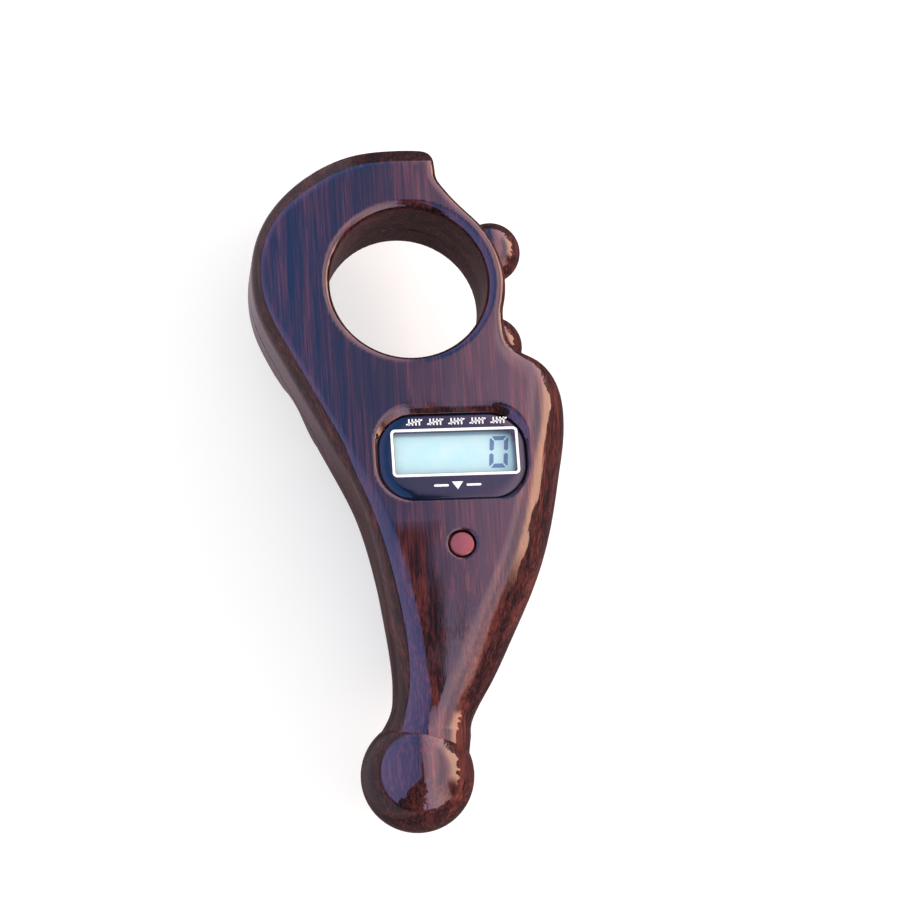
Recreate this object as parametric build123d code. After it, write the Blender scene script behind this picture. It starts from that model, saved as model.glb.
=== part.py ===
from build123d import *
import os
from math import cos, radians, sin

# Electronic hand tally counter with a finger ring, lying on its back. Millimetres.
# X runs across the case, Y along it towards the finger ring, Z up out of the display.
# The origin is under the middle of the case, on the surface that it rests on.

# ---------- driving dimensions ----------
front_z = 23.0             # display face of the case
ring_back_z = 7.5          # back of the ring, above the palm swell's rest face
parting_z = 13.5           # plane where the two shells meet
wall = 1.8                 # case wall
edge_round = 1.4           # rounding of the case's outer edges

bore_x = 0.0
bore_y = 30.0
bore_radius = 12.05        # finger hole
bore_wall = 1.2
bore_round = 1.2
ring_radius = 14.9         # outside of the thin right side of the ring

joint_y = -8.0             # the plate-like upper case ends here and the round handle begins
swell_start_y = 8.0        # the palm swell is flat up to here
swell_end_y = 16.5         # and has risen to the ring's back here

ball_centre = (-2.3, -44.05, 11.5)
ball_radius = 8.45
spigot_radius = 2.6
spigot_x = 0.0
collar_radius = 3.8
spigot_end_y = -33.0
collar_thickness = 1.0

panel_x, panel_y = 4.85, 2.1           # black display panel
panel_width, panel_height = 22.4, 13.5
panel_corner = 5.6
panel_top_z = 22.1
panel_thickness = 0.6
rim_x, rim_y = 4.9, 2.85               # mouth of the sloping pocket round the panel
rim_width, rim_height = 24.3, 15.5
rim_corner = 6.4
window_x, window_y = 5.3, 2.8          # window in the panel, over the display glass
window_width, window_height = 18.3, 6.5
pad_thickness = 0.8                    # case floor that carries the panel

glass_width = 21.6
front_glass_height = 11.6
rear_glass_height = 8.4
glass_thickness = 0.6
film_thickness = 0.2
zebra_length, zebra_width = 20.4, 1.2
holder_width, holder_height = 24.2, 14.2

board_top_z = 17.4
board_thickness = 1.0
chip_x, chip_y = -0.5, 6.6             # drop of epoxy over the counter chip
chip_radius, chip_height = 3.0, 1.1
component_x = 13.0                     # the two small components under the board
resistor_y, capacitor_y = 4.6, 2.4
resistor_size = (1.6, 0.8, 0.5)
capacitor_size = (2.0, 1.25, 0.9)

reset_x, reset_y = 5.28, -11.66
reset_radius = 1.8
reset_hole_radius = 2.08
reset_top_z = 22.9
reset_flange_radius, reset_flange_z, reset_flange_thickness = 2.7, 19.9, 0.7
reset_edge_round = 0.25
dish_radius, dish_depth = 3.1, 0.35    # shallow hollow round the reset button
reset_switch_size, reset_switch_height = 4.0, 1.6
reset_plunger_radius = 0.8

count_radius = 4.7                     # ball-shaped count buttons, pressed towards the finger hole
count_distance = 15.5                  # ball centre from the axis of the finger hole
count_z = 15.25
count_angles = {"up": 27.0, "down": -33.0}
pocket_floor = 13.0                    # distances from here on are from the finger hole's axis
flex_top = 13.32
skirt_bottom = 13.72
lug_top = 14.12
nub_bottom = 14.9
nub_radius, nub_length = 1.1, 0.7
skirt_radius, skirt_inner_radius = 4.66, 3.9
button_lug_reach, button_lug_width = 5.4, 3.6
thumb_cup_radius = 5.6                 # hollow in the shoulder round the lower ball
switch_size, switch_height = 3.4, 0.98
plunger_radius = 0.7
flex_disc_radius = 3.5
ribbon_inner, ribbon_thickness = 13.3, 0.2
ribbon_z = (14.05, 16.4)
ribbon_upper_angles = (-19.0, 13.0)    # between the two buttons
ribbon_lower_angles = (-50.5, -46.0)   # past the lower button, then straight down
ribbon_x, ribbon_top_y = 8.6, 19.75
connector_y = (7.6, 10.6)

cell_x, cell_y = 5.0, -0.5             # button cell and its door
cell_radius, cell_thickness = 5.8, 5.4
cell_bottom_z = 2.75
holder_flange_radius, holder_wall_radius = 9.0, 7.2
holder_bore_radius = 6.0
holder_top_z = 10.0
door_radius = 7.0
door_z = (0.2, 2.7)
lug_radius, lug_width = 8.0, 3.4
lug_z = (1.95, 2.7)
unlock_angle = 60.0
contact_width, contact_thickness = 2.4, 0.3
positive_contact_bottom_z = 4.0
negative_leg_offset = 3.2              # from the cell's axis
holder_flange_top_z = 3.4
coin_slot_length, coin_slot_width, coin_slot_depth = 9.0, 1.4, 0.9

case_screw_places = [(-3.5, 47.0), (-12.2, 14.6), (3.6, -23.5)]
case_boss_radius = 2.6
case_screw_seat_z = 9.5
case_screw_head_radius, case_screw_radius = 1.5, 0.8
case_screw_head, case_screw_length = 1.4, 9.0
board_screw_places = [(-8.3, 9.5), (-0.6, -9.8), (11.2, -9.8)]
board_post_radius = 1.3
board_screw_head_radius, board_screw_radius = 1.0, 0.5
board_screw_head, board_screw_length = 0.7, 4.0

running_gap = 0.1                      # round moving pieces
slip_gap = 0.05                        # round pieces that are fitted by hand

# heights that follow from the ones above
seat_z = panel_top_z - panel_thickness             # floor that carries the panel
pad_bottom_z = seat_z - pad_thickness
front_glass_z = (pad_bottom_z - glass_thickness, pad_bottom_z)
rear_glass_z = (front_glass_z[0] - glass_thickness, front_glass_z[0])
reflector_z = (rear_glass_z[0] - film_thickness, rear_glass_z[0])
zebra_offset = (front_glass_height - zebra_width) / 2
board_bottom_z = board_top_z - board_thickness
all_heights = (-1.0, front_z + 1.0)


# ---------- helpers ----------
def block(x_range, y_range, z_range):
    """A box between the given limits."""
    size = [high - low for low, high in (x_range, y_range, z_range)]
    middle = [(high + low) / 2 for low, high in (x_range, y_range, z_range)]
    return Pos(*middle) * Box(*size)


def slab(x, y, width, height, z_range):
    """A box centred on x, y with the given plan size."""
    return block((x - width / 2, x + width / 2), (y - height / 2, y + height / 2), z_range)


def post(x, y, radius, z_range):
    """An upright cylinder between two heights."""
    low, high = z_range
    return Pos(x, y, (low + high) / 2) * Cylinder(radius, high - low)


def rounded_slab(x, y, width, height, corner, z_range):
    """A flat plate with rounded corners."""
    low, high = z_range
    face = Pos(x, y, low) * RectangleRounded(width, height, corner)
    return extrude(face, high - low)


# ---------- outer form of the case ----------
def upper_outline():
    """Front view of the ring and the display area, run on a little past the handle joint."""
    left_foot, left_joint = (-7.2, -12.0), (-8.1, joint_y)
    right_foot, right_joint = (19.1, -12.0), (20.1, joint_y)
    ring_start = (bore_x + ring_radius * cos(radians(44)), bore_y + ring_radius * sin(radians(44)))
    ring_end = (bore_x + ring_radius * cos(radians(-18)), bore_y + ring_radius * sin(radians(-18)))
    ring_middle = (bore_x + ring_radius * cos(radians(13)), bore_y + ring_radius * sin(radians(13)))
    hook_top = (5.0, 52.3)
    hook_foot = (5.3, 47.0)
    left_flank = Spline(left_joint, (-9.5, -3.2), (-12.0, 2.6), (-16.2, 11.4),
                        (-20.4, 20.2), (-23.05, 26.6), (-23.75, 32.3), (-22.5, 39.0), (-18.9, 44.7),
                        (-13.6, 49.1), (-6.4, 52.0), (-1.0, 52.5), hook_top)
    hook_end = Line(hook_top, hook_foot)
    saddle = Spline(hook_foot, (7.4, 44.0), ring_start,
                    tangents=[(0.45, -0.89), (sin(radians(44)), -cos(radians(44)))])
    ring_side = ThreePointArc(ring_start, ring_middle, ring_end)
    shoulder = Spline(ring_end, (14.3, 22.3), (15.6, 19.3), (18.6, 17.5), (21.6, 14.8), (23.25, 9.3),
                      (22.2, 1.2), right_joint,
                      tangents=[(sin(radians(-18)), -cos(radians(-18))), (-0.24, -1.0)])
    foot = Polyline(right_joint, right_foot, left_foot, left_joint)
    plan = make_face([left_flank, hook_end, saddle, ring_side, shoulder, foot])
    plan = fillet(plan.vertices().sort_by_distance(hook_top)[0], 1.8)
    return fillet(plan.vertices().sort_by_distance(hook_foot)[0], 1.0)


def inner_outline(inset):
    """The outline shrunk all round, with its curved edges drawn again as splines."""
    edges = []
    for edge in offset(upper_outline(), -inset).edges():
        if edge.geom_type in (GeomType.LINE, GeomType.CIRCLE):
            edges.append(edge)
        else:
            edges.append(Spline(*[edge @ (step / 24) for step in range(25)]))
    return make_face(edges)


def side_profile(inset):
    """Side view of the ring and the display area, with the palm swell on the back."""
    start = swell_start_y - 0.8 * inset
    end = swell_end_y - 0.8 * inset
    middle = (start + end) / 2
    back = ring_back_z + inset
    swell = Bezier((start, inset), (middle, inset), (middle, back), (end, back))
    outline = Polyline((end, back), (60.0, back), (60.0, front_z - inset),
                       (-14.0, front_z - inset), (-14.0, inset), (start, inset))
    return Plane.YZ.offset(-60) * make_face([swell, outline])


def upper_case(inset):
    """The ring and the display area as a solid, shrunk all round by the inset."""
    plan = inner_outline(inset) if inset > 0 else upper_outline()
    body = extrude(plan, front_z) & extrude(side_profile(inset), 120)
    body &= block((-60, 60), (joint_y, 60), (-1, front_z + 1))
    if inset == 0:
        body = fillet(rim_edges(body), edge_round)
    return body


def rim_edges(body):
    """The edges all round the front face and the back of the upper case."""
    def runs_round(edge):
        across = abs((edge @ 0).Y - (edge @ 1).Y) < 0.001 and edge.geom_type == GeomType.LINE
        upright = edge.geom_type == GeomType.LINE and abs((edge @ 0).Z - (edge @ 1).Z) > 0.1
        return not across and not upright
    return body.edges().filter_by(runs_round)


def handle(inset, end_y):
    """The handle, lofted from the display area's section to the round neck."""
    # y, left x, right x, back z, front z, corner radius
    sections = [(joint_y, -8.1, 20.1, 0.0, 23.0, 1.4),
                (joint_y - 1.0, -7.88, 19.86, 0.0, 23.0, 1.5),
                (-16.0, -6.6, 17.2, 0.4, 22.6, 3.0),
                (-24.0, -5.6, 13.2, 1.9, 21.1, 4.4),
                (-31.0, -5.25, 9.4, 4.0, 19.0, 5.2),
                (-37.0, -5.8, 6.1, 5.5, 17.5, 5.6),
                (-43.0, -6.0, 5.4, 5.8, 17.2, 5.4)]
    faces = []
    for y, left, right, back, front, corner in sections:
        if y < end_y:
            break
        width = right - left - 2 * inset
        height = front - back - 2 * inset
        plane = Plane(origin=((left + right) / 2, y, (back + front) / 2), x_dir=(1, 0, 0),
                      z_dir=(0, -1, 0))
        faces.append(plane * RectangleRounded(width, height, max(corner - inset, 0.5)))
    return loft(faces)


def case_body():
    """The whole outer form without hollow, with the finger hole cut and its edges rounded."""
    body = upper_case(0) + handle(0, -43.0)
    body -= post(bore_x, bore_y, bore_radius, all_heights)
    rims = body.edges().filter_by(GeomType.CIRCLE).filter_by(
        lambda edge: abs(edge.radius - bore_radius) < 0.01)
    body = fillet(rims, bore_round)
    reach = (count_distance - 1.0, count_distance + 10.0)
    body -= ball_round("down", thumb_cup_radius) & radial_block("down", 20, 20, reach)
    return body - Pos(*ball_centre) * Sphere(ball_radius + slip_gap)


def case_space():
    """The hollow inside the case, shared by both shells."""
    space = upper_case(wall) + handle(wall, -31.0)
    return space - post(bore_x, bore_y, bore_radius + bore_wall, all_heights)


# ---------- the two ball-shaped count buttons ----------
def press_line(side):
    """A place on the finger hole's axis whose local Z points out along one count button."""
    angle = radians(count_angles[side])
    return Plane(origin=(bore_x, bore_y, count_z), x_dir=(0, 0, 1),
                 z_dir=(cos(angle), sin(angle), 0)).location


def radial_post(side, radius, reach):
    """A cylinder along a button's line, between two distances from the finger hole's axis."""
    near, far = reach
    return press_line(side) * Pos(0, 0, (near + far) / 2) * Cylinder(radius, far - near)


def radial_block(side, height, width, reach):
    """A box along a button's line; the height is along the object's Z."""
    near, far = reach
    return press_line(side) * Pos(0, 0, (near + far) / 2) * Box(height, width, far - near)


def ball_round(side, radius):
    """A sphere round a button's centre."""
    return press_line(side) * Pos(0, 0, count_distance) * Sphere(radius)


def count_button(side):
    """A ball cap with a skirt, two lugs that keep it in the case and a nub over its switch."""
    half_space = radial_block(side, 20, 20, (skirt_bottom, count_distance + 20))
    cap = ball_round(side, count_radius) & half_space
    button = cap + radial_post(side, skirt_radius, (skirt_bottom, count_distance))
    button += radial_block(side, 2 * button_lug_reach, button_lug_width, (skirt_bottom, lug_top))
    hollow_top = nub_bottom + nub_length
    hollow = radial_post(side, skirt_inner_radius, (skirt_bottom - 1, hollow_top))
    nub = radial_post(side, nub_radius, (nub_bottom, hollow_top))
    return button - (hollow - nub)


def count_pocket(side):
    """What the shells leave open for a count button, its lugs and its switch."""
    pocket = radial_post(side, count_radius + running_gap, (pocket_floor, count_distance + 1.5))
    slot_height = 2 * (button_lug_reach + 2 * running_gap)
    slot_width = button_lug_width + 4 * running_gap
    return pocket + radial_block(side, slot_height, slot_width, (pocket_floor, lug_top + running_gap))


def side_switch(side):
    """Push switch body under a count button, open on top for its plunger."""
    top = flex_top + switch_height
    body = radial_block(side, switch_size, switch_size, (flex_top, top))
    return body - radial_post(side, plunger_radius + slip_gap, (flex_top + 0.3, top + 1))


def side_plunger(side):
    """Plunger between a side switch and the nub of its button."""
    bottom = flex_top + switch_height - 0.2
    return radial_post(side, plunger_radius, (bottom, nub_bottom))


def ribbon_arc(angles, gap=0.0):
    """A stretch of the ribbon's path round the finger hole, or with a gap the channel for it."""
    z_range = (ribbon_z[0] - gap, ribbon_z[1] + gap)
    outer = ribbon_inner + ribbon_thickness + gap
    ring = post(bore_x, bore_y, outer, z_range) - post(bore_x, bore_y, ribbon_inner - gap, z_range)
    reach = 2 * outer
    rays = [(bore_x + reach * cos(radians(a)), bore_y + reach * sin(radians(a))) for a in angles]
    wedge = make_face(Polyline((bore_x, bore_y), *rays, close=True))
    return ring & (Pos(0, 0, -1) * extrude(wedge, front_z + 2))


def side_flex():
    """Flexible circuit: a disc under each side switch, joined by a ribbon that runs to the board."""
    flex = ribbon_arc(ribbon_upper_angles) + ribbon_arc(ribbon_lower_angles)
    for side in count_angles:
        flex += radial_post(side, flex_disc_radius, (pocket_floor, flex_top))
    half = ribbon_thickness / 2
    return flex + block((ribbon_x - half, ribbon_x + half), (connector_y[1] - 1, ribbon_top_y), ribbon_z)


def flex_connector():
    """Small connector under the board that takes the ribbon's end."""
    body = block((ribbon_x - 1.2, ribbon_x + 1.2), connector_y, (ribbon_z[0] - 0.1, board_bottom_z))
    half = ribbon_thickness / 2 + slip_gap
    return body - block((ribbon_x - half, ribbon_x + half), (connector_y[1] - 1.05, 20),
                        (ribbon_z[0] - 0.05, board_bottom_z))


# ---------- shells ----------
def panel_pocket():
    """Seat of the display panel with a sloping, rounded mouth."""
    seat = rounded_slab(panel_x, panel_y, panel_width + 2 * slip_gap, panel_height + 2 * slip_gap,
                        panel_corner, (seat_z, panel_top_z))
    low = Pos(panel_x, panel_y, panel_top_z) * RectangleRounded(
        panel_width + 2 * slip_gap, panel_height + 2 * slip_gap, panel_corner)
    high = Pos(rim_x, rim_y, front_z + 0.05) * RectangleRounded(rim_width, rim_height, rim_corner)
    return seat + loft([low, high])


def glass_opening():
    """Opening in the panel's seat that the display's front film stands in."""
    return slab(window_x, window_y, window_width + 1.2, window_height + 1.2, (pad_bottom_z - 1, front_z))


def reset_opening():
    """Hole for the reset button in a shallow dish."""
    ball = (dish_radius ** 2 + dish_depth ** 2) / (2 * dish_depth)
    dish = Pos(reset_x, reset_y, reset_top_z - dish_depth + ball) * Sphere(ball)
    return dish + post(reset_x, reset_y, reset_hole_radius, (20.0, front_z))


def ball_socket():
    """Hole along the neck for the end ball's spigot and collar."""
    return spigot(slip_gap)


def spigot(gap):
    """Collared stem of the end ball, or with a gap the hole that takes it."""
    x, y, z = spigot_x, ball_centre[1], ball_centre[2]
    stem_length = spigot_end_y + gap - y - 3
    stem = Pos(x, spigot_end_y + gap - stem_length / 2, z) * Rot(90, 0, 0) * Cylinder(
        spigot_radius + gap, stem_length)
    collar = Pos(x, spigot_end_y - 1.7 * collar_thickness, z) * Rot(90, 0, 0) * Cylinder(
        collar_radius + gap, collar_thickness + 2 * gap)
    return stem + collar


def shell_blank(form, space, z_range):
    """One half of the hollow case before its fittings."""
    low, high = z_range
    return (form - space) & block((-60, 60), (-60, 60), (low, high))


def front_shell(form, space):
    """Front half: face with display pocket and reset hole, bosses for the screws."""
    shell = shell_blank(form, space, (parting_z, front_z + 1))
    pad = rounded_slab(panel_x, panel_y, panel_width + 3, panel_height + 3, panel_corner + 1,
                       (pad_bottom_z, seat_z + 0.3))
    shell += pad & form
    for x, y in case_screw_places:
        shell += post(x, y, case_boss_radius, (parting_z, front_z - wall / 2)) & form
    for x, y in board_screw_places:
        shell += post(x, y, board_post_radius, (board_top_z, front_z - wall / 2)) & form
    shell -= panel_pocket()
    shell -= glass_opening()
    shell -= reset_opening()
    tip_z = case_screw_seat_z + case_screw_length
    for x, y in case_screw_places:
        shell -= post(x, y, case_screw_radius + 0.02, (parting_z - 1, tip_z + 0.2))
    tip_z = board_bottom_z + board_screw_length
    for x, y in board_screw_places:
        shell -= post(x, y, board_screw_radius + 0.02, (board_top_z - 1, tip_z + 0.2))
    shell -= ribbon_arc(ribbon_upper_angles, 0.1)
    return cut_common(shell)


def rear_shell(form, space):
    """Rear half: palm swell with the battery opening, screw bosses and the ring's back."""
    shell = shell_blank(form, space, (-1.0, parting_z))
    for x, y in case_screw_places:
        shell += post(x, y, case_boss_radius, (0, parting_z)) & form
    for x, y in case_screw_places:
        shell -= post(x, y, case_screw_head_radius + 0.15, (-1, case_screw_seat_z))
        shell -= post(x, y, case_screw_radius + slip_gap, (-1, parting_z + 1))
    shell -= post(cell_x, cell_y, door_radius + running_gap, (-1, wall + 1))
    shell -= post(cell_x, cell_y, holder_flange_radius + slip_gap, (wall, wall + 3))
    shell -= door_lugs(unlock_angle, running_gap + 0.05, (-1.0, wall + 0.1))
    return cut_common(shell)


def cut_common(shell):
    """Take the openings that cross the parting plane out of one shell."""
    for side in count_angles:
        shell -= count_pocket(side)
    return shell - ball_socket()


# ---------- display ----------
def display_bezel():
    """Black oval panel with its window."""
    panel = rounded_slab(panel_x, panel_y, panel_width, panel_height, panel_corner,
                         (seat_z, panel_top_z))
    return panel - slab(window_x, window_y, window_width, window_height, all_heights)


def lcd_front_polarizer():
    """Film on the display's front glass."""
    return slab(window_x, window_y, window_width + 0.8, window_height + 0.8,
                (pad_bottom_z, pad_bottom_z + film_thickness))


def lcd_front_glass():
    """Front glass, with contact ledges above and below the rear glass."""
    return slab(window_x, window_y, glass_width, front_glass_height, front_glass_z)


def lcd_rear_glass():
    """Rear glass of the display."""
    return slab(window_x, window_y, glass_width, rear_glass_height, rear_glass_z)


def lcd_reflector():
    """Rear polarizer with its reflecting film."""
    return slab(window_x, window_y, glass_width - 1.2, rear_glass_height - 0.6, reflector_z)


def zebra_strip(direction):
    """Elastomer strip between the display's contact ledge and the board."""
    return slab(window_x, window_y + direction * zebra_offset, zebra_length, zebra_width,
                (board_top_z, front_glass_z[0]))


def lcd_holder():
    """Frame that seats the glass and both zebra strips on the board."""
    frame = slab(window_x, window_y, holder_width, holder_height, (board_top_z, pad_bottom_z))
    frame -= slab(window_x, window_y, glass_width + 0.1, front_glass_height + 0.1,
                  (front_glass_z[0], front_z))
    frame -= slab(window_x, window_y, glass_width + 0.1, rear_glass_height + 0.1,
                  (reflector_z[0], front_z))
    for direction in (1, -1):
        frame -= slab(window_x, window_y + direction * zebra_offset, zebra_length + 0.1,
                      zebra_width + 0.1, (board_top_z - 1, front_z))
    return frame


# ---------- electronics ----------
def main_board():
    """Circuit board behind the display, down to the reset switch."""
    corners = [(-9.8, 11.2), (18.4, 11.2), (18.4, -2.0), (13.2, -16.0), (-1.8, -16.0),
               (-6.2, -6.0), (-9.8, 5.0)]
    face = make_face(Polyline(*corners, close=True))
    board = Pos(0, 0, board_bottom_z) * extrude(face, board_thickness)
    for x, y in board_screw_places:
        board -= post(x, y, board_screw_radius + slip_gap, all_heights)
    return board


def chip_blob():
    """Drop of epoxy over the counter chip, under the board."""
    ball = (chip_radius ** 2 + chip_height ** 2) / (2 * chip_height)
    drop = Pos(chip_x, chip_y, board_bottom_z - chip_height + ball) * Sphere(ball)
    return drop & slab(chip_x, chip_y, 3 * chip_radius, 3 * chip_radius,
                       (board_bottom_z - 2 * chip_height, board_bottom_z))


def chip_component(y, size):
    """A small surface-mounted component under the board."""
    width, height, depth = size
    return slab(component_x, y, width, height, (board_bottom_z - depth, board_bottom_z))


def reset_switch_body():
    """Push switch on the board under the reset button."""
    top = board_top_z + reset_switch_height
    body = slab(reset_x, reset_y, reset_switch_size, reset_switch_size, (board_top_z, top))
    return body - post(reset_x, reset_y, reset_plunger_radius + slip_gap, (board_top_z + 0.5, top + 1))


def reset_plunger():
    """Plunger of the reset switch."""
    bottom = board_top_z + reset_switch_height - 0.4
    return post(reset_x, reset_y, reset_plunger_radius, (bottom, reset_flange_z))


def reset_button():
    """Round button with a flange behind the face."""
    head = post(reset_x, reset_y, reset_radius, (reset_flange_z, reset_top_z))
    head = fillet(head.edges().group_by(Axis.Z)[-1], reset_edge_round)
    flange_top = reset_flange_z + reset_flange_thickness
    return head + post(reset_x, reset_y, reset_flange_radius, (reset_flange_z, flange_top))


# ---------- battery ----------
def battery_cell():
    """Button cell, positive can towards the door."""
    top = cell_bottom_z + cell_thickness
    can = post(cell_x, cell_y, cell_radius, (cell_bottom_z, top - 0.5))
    can = fillet(can.edges().group_by(Axis.Z)[0], 0.4)
    return can + post(cell_x, cell_y, cell_radius - 1.0, (top - 0.5, top))


def battery_holder():
    """Top-hat cup over the cell, standing on the rear shell."""
    ceiling_z = holder_top_z - 1.0
    holder = post(cell_x, cell_y, holder_flange_radius, (wall, holder_flange_top_z))
    holder += post(cell_x, cell_y, holder_wall_radius, (holder_flange_top_z, holder_top_z))
    holder -= post(cell_x, cell_y, lug_radius + 0.2, (wall - 1, 2.9))
    holder -= post(cell_x, cell_y, holder_bore_radius, (2.0, ceiling_z))
    holder -= positive_contact(0.15)
    return holder - negative_riser(0.15)


def positive_contact(gap=0.0):
    """Spring strip that touches the side of the cell and runs up to the board."""
    edge = cell_x - cell_radius
    half = contact_width / 2 + gap
    return block((edge - contact_thickness - gap, edge + gap), (cell_y - half, cell_y + half),
                 (positive_contact_bottom_z - gap, board_bottom_z))


def negative_riser(gap=0.0):
    """Upright leg of the negative contact."""
    x = cell_x + negative_leg_offset
    half = contact_width / 2 + gap
    return block((x - gap, x + contact_thickness + gap), (cell_y - half, cell_y + half),
                 (cell_bottom_z + cell_thickness, board_bottom_z))


def negative_contact():
    """Leaf on the cell's negative face with a leg up to the board."""
    bottom = cell_bottom_z + cell_thickness
    half = contact_width / 2
    reach = negative_leg_offset + contact_thickness
    leaf = block((cell_x - negative_leg_offset, cell_x + reach), (cell_y - half, cell_y + half),
                 (bottom, bottom + contact_thickness))
    return leaf + negative_riser()


def door_lugs(turn, gap, z_range):
    """The two bayonet lugs of the battery door, or with a gap the notches that let them in."""
    bar = Box(2 * (lug_radius + gap), lug_width + 2 * gap, z_range[1] - z_range[0])
    bar = Pos(cell_x, cell_y, (z_range[0] + z_range[1]) / 2) * Rot(0, 0, turn) * bar
    return bar & post(cell_x, cell_y, lug_radius + gap, z_range)


def battery_door():
    """Round bayonet cap with a coin slot."""
    door = post(cell_x, cell_y, door_radius, door_z) + door_lugs(0, 0, lug_z)
    return door - slab(cell_x, cell_y, coin_slot_length, coin_slot_width,
                       (door_z[0] - 1, door_z[0] + coin_slot_depth))


# ---------- screws ----------
def screw(head_radius, head, radius, length):
    """Screw with its head below Z = 0 and a cross recess."""
    body = Pos(0, 0, -head / 2) * Cylinder(head_radius, head)
    body += Pos(0, 0, length / 2) * Cylinder(radius, length)
    for turn in (0, 90):
        body -= Pos(0, 0, -head) * Rot(0, 0, turn) * Box(1.2 * head_radius, 0.3, head)
    return body


def screws(places, seat, *sizes):
    """Identical screws as one group."""
    return Compound(children=[Pos(x, y, seat) * screw(*sizes) for x, y in places])


def all_parts():
    """Every separate piece by its node name."""
    form = case_body()
    space = case_space()
    parts = {
        "front_shell": front_shell(form, space),
        "rear_shell": rear_shell(form, space),
        "end_ball": Pos(*ball_centre) * Sphere(ball_radius) + spigot(0),
        "display_bezel": display_bezel(),
        "lcd_front_polarizer": lcd_front_polarizer(),
        "lcd_front_glass": lcd_front_glass(),
        "lcd_rear_glass": lcd_rear_glass(),
        "lcd_reflector": lcd_reflector(),
        "lcd_holder": lcd_holder(),
        "upper_zebra_strip": zebra_strip(1),
        "lower_zebra_strip": zebra_strip(-1),
        "main_board": main_board(),
        "chip_blob": chip_blob(),
        "timing_resistor": chip_component(resistor_y, resistor_size),
        "bypass_capacitor": chip_component(capacitor_y, capacitor_size),
        "reset_switch_body": reset_switch_body(),
        "reset_switch_plunger": reset_plunger(),
        "reset_button": reset_button(),
        "side_flex": side_flex(),
        "flex_connector": flex_connector(),
        "battery_cell": battery_cell(),
        "battery_holder": battery_holder(),
        "positive_contact": positive_contact(),
        "negative_contact": negative_contact(),
        "battery_door": battery_door(),
        "case_screws": screws(case_screw_places, case_screw_seat_z, case_screw_head_radius,
                              case_screw_head, case_screw_radius, case_screw_length),
        "board_screws": screws(board_screw_places, board_bottom_z, board_screw_head_radius,
                               board_screw_head, board_screw_radius, board_screw_length),
    }
    for side in count_angles:
        parts[f"count_{side}_button"] = count_button(side)
        parts[f"count_{side}_switch"] = side_switch(side)
        parts[f"count_{side}_plunger"] = side_plunger(side)
    return parts


os.makedirs("parts", exist_ok=True)
for name, shape in all_parts().items():
    export_step(shape, f"parts/{name}.step")
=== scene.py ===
import math

import bpy
import numpy as np
from mathutils import Matrix, Vector
from mathutils.kdtree import KDTree


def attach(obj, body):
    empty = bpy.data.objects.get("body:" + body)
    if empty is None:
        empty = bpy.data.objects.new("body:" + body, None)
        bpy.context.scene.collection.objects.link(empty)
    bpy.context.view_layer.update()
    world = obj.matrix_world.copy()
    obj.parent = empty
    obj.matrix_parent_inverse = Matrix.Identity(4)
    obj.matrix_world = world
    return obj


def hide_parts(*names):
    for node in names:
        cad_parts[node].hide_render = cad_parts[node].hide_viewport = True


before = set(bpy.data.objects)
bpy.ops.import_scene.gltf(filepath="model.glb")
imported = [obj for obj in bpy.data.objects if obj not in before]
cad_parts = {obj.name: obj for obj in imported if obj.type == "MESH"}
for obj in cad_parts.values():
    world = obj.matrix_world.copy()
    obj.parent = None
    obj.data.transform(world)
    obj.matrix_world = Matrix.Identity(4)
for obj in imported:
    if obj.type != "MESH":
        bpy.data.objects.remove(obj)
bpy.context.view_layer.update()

# ---------- sizes, in millimetres -------------------------------------
MM = 0.001
FRONT_Z = 23.0
PARTING_Z = 13.5
WALL = 1.8

BORE = (0.0, 30.0, 12.05)              # finger hole: x, y, radius
BORE_WALL = 1.2
BORE_ROUND = 1.3

BALL_CENTRE = (-2.3, -44.05, 11.5)
BALL_RADIUS = 8.45

COUNT_DISTANCE = 15.5                  # button centres from the finger hole's axis
COUNT_Z = 15.25
COUNT_RADIUS = 4.7
COUNT_ANGLES = {"up": 27.0, "down": -33.0}
THUMB_CUP_RADIUS = 5.6

# The outline, from the neck up the left side to the hook and down the right side:
# x, y, how far the front edge's rounding runs in, and how far it drops.
LEFT_SIDE = [
    (-6.0, -43.0, 5.6, 5.7), (-5.8, -37.0, 5.6, 6.0), (-5.25, -31.0, 5.0, 7.0), (-5.6, -24.0, 4.2, 7.0),
    (-6.6, -16.0, 3.6, 5.4), (-8.1, -8.0, 3.0, 3.9), (-9.5, -3.2, 2.6, 3.2), (-12.0, 2.6, 2.0, 2.4),
    (-16.2, 11.4, 1.4, 1.6), (-20.4, 20.2, 1.2, 1.3), (-23.05, 26.6, 1.1, 1.2), (-23.75, 32.3, 1.0, 1.1),
    (-22.5, 39.0, 1.0, 1.0), (-18.9, 44.7, 1.0, 1.0), (-13.6, 49.1, 1.0, 1.0), (-6.4, 52.0, 1.0, 1.0),
    (-1.0, 52.5, 1.0, 1.0), (2.6, 52.45, 1.0, 1.0), (4.5, 51.85, 1.1, 1.1), (5.05, 50.3, 1.3, 1.3),
    (5.3, 47.0, 1.4, 1.4)]
SADDLE = [(5.3, 47.0, 1.4, 1.4), (7.4, 44.0, 1.4, 1.4), (10.72, 40.35, 1.4, 1.4)]
RING_RADIUS = 14.9
RING_ANGLES = (44.0, -18.0)
RIGHT_SIDE = [
    (14.17, 25.4, 1.4, 1.4), (14.3, 22.3, 1.8, 1.6), (15.6, 19.4, 3.4, 2.0), (18.8, 17.9, 5.0, 3.2),
    (21.9, 15.0, 6.2, 5.0), (23.25, 9.3, 7.0, 7.6), (22.2, 1.2, 7.2, 10.0), (20.1, -8.0, 7.2, 10.6),
    (17.2, -16.0, 7.0, 10.4), (13.2, -24.0, 6.8, 9.2), (9.4, -31.0, 6.4, 7.4), (6.1, -37.0, 5.8, 6.0),
    (5.4, -43.0, 5.6, 5.7)]
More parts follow.
